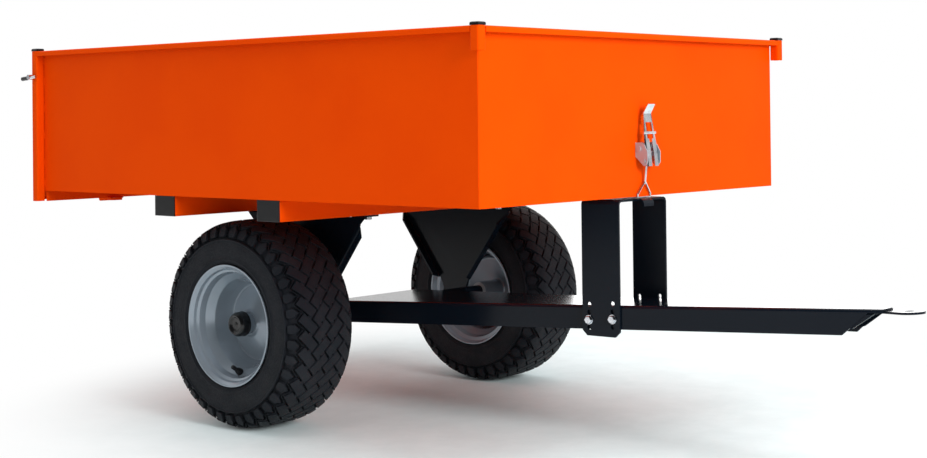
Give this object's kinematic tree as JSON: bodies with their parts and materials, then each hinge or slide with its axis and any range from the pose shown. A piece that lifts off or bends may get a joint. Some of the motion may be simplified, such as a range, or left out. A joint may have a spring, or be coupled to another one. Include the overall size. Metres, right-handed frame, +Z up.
{
  "type": "garden trailer",
  "caption": "Two-wheeled garden trailer: open tipping steel box with drop tailgate, toggle latch and tapered drawbar.",
  "frame": {"origin": "on the ground, under the middle of the overall length and width", "axes": "+X towards the hitch, +Y to the trailer's left, +Z up"},
  "size_m": [1.8352, 0.9976, 0.759],
  "materials": {
    "box_paint": "gloss orange powder coat",
    "frame_paint": "gloss black powder coat",
    "cap_plastic": "satin black plastic",
    "zinc": "bright zinc plate",
    "rim_silver": "silver paint",
    "tyre": "black rubber, turf tread",
    "valve_rubber": "black rubber",
    "bush": "grey plastic"
  },
  "bodies": {
    "chassis": {"drawbar": "frame_paint", "hitch_tongue": "frame_paint", "front_support": "frame_paint", "support_bolt_rear_right": "zinc", "support_bolt_front_right": "zinc", "support_bolt_rear_left": "zinc", "support_bolt_front_left": "zinc", "axle": "zinc", "inner_sleeve_right": "frame_paint", "inner_sleeve_left": "frame_paint", "outer_sleeve_right": "frame_paint", "outer_sleeve_left": "frame_paint", "split_pin_right": "zinc", "split_pin_left": "zinc"},
    "box": {"box_floor": "box_paint", "side_panel_right": "box_paint", "side_panel_left": "box_paint", "front_panel": "box_paint", "corner_tube_right": "box_paint", "corner_tube_left": "box_paint", "corner_cap_right": "cap_plastic", "corner_cap_left": "cap_plastic", "rear_post_right": "box_paint", "rear_post_left": "box_paint", "post_cap_right": "cap_plastic", "post_cap_left": "cap_plastic", "cross_tube_rear": "box_paint", "cross_tube_front": "box_paint", "cross_cap_rear_right": "cap_plastic", "cross_cap_rear_left": "cap_plastic", "cross_cap_front_right": "cap_plastic", "cross_cap_front_left": "cap_plastic", "axle_bracket_right": "frame_paint", "axle_bracket_left": "frame_paint", "bracket_bolt_rear_right": "zinc", "bracket_bolt_front_right": "zinc", "bracket_bolt_rear_left": "zinc", "bracket_bolt_front_left": "zinc", "latch_base": "zinc", "hinge_strap_right": "box_paint", "hinge_strap_left": "box_paint"},
    "tailgate": {"tailgate": "box_paint", "hinge_leaf_right": "box_paint", "hinge_leaf_left": "box_paint"},
    "pin_right": {"tailgate_pin_right": "zinc", "pin_grip_right": "cap_plastic"},
    "pin_left": {"tailgate_pin_left": "zinc", "pin_grip_left": "cap_plastic"},
    "lever": {"latch_lever": "zinc"},
    "loop": {"latch_loop": "zinc"},
    "wheel_right": {"tyre_right": "tyre", "rim_right": "rim_silver", "hub_bush_right": "bush", "hub_cap_right": "cap_plastic", "valve_right": "valve_rubber"},
    "wheel_left": {"tyre_left": "tyre", "rim_left": "rim_silver", "hub_bush_left": "bush", "hub_cap_left": "cap_plastic", "valve_left": "valve_rubber"}
  },
  "joints": [
    {"name": "box_tip", "type": "hinge", "parent": "chassis", "child": "box", "pos_m": [-0.31146, 0, 0.2025], "axis": [0, -1, 0], "range_deg": [0, 38]},
    {"name": "tailgate_drop", "type": "hinge", "parent": "box", "child": "tailgate", "pos_m": [-0.90496, 0, 0.4265], "axis": [0, -1, 0], "range_deg": [0, 175]},
    {"name": "pin_right_slide", "type": "slide", "parent": "box", "child": "pin_right", "axis": [0, -1, 0], "range_m": [-0.006, 0.028]},
    {"name": "pin_left_slide", "type": "slide", "parent": "box", "child": "pin_left", "axis": [0, 1, 0], "range_m": [-0.006, 0.028]},
    {"name": "latch_lever_swing", "type": "hinge", "parent": "box", "child": "lever", "pos_m": [0.38204, 0, 0.5175], "axis": [0, 1, 0], "range_deg": [0, 150]},
    {"name": "latch_loop_swing", "type": "hinge", "parent": "lever", "child": "loop", "pos_m": [0.37554, 0, 0.53641], "axis": [0, 1, 0], "range_deg": [-157.5, 0]},
    {"name": "wheel_right_spin", "type": "hinge", "parent": "chassis", "child": "wheel_right", "pos_m": [-0.31146, -0.355, 0.2025], "axis": [0, 1, 0], "continuous": true},
    {"name": "wheel_left_spin", "type": "hinge", "parent": "chassis", "child": "wheel_left", "pos_m": [-0.31146, 0.355, 0.2025], "axis": [0, 1, 0], "continuous": true}
  ],
  "couplings": [
    {"joint": "latch_loop_swing", "follows": "latch_lever_swing", "ratio": -1.05}
  ]
}
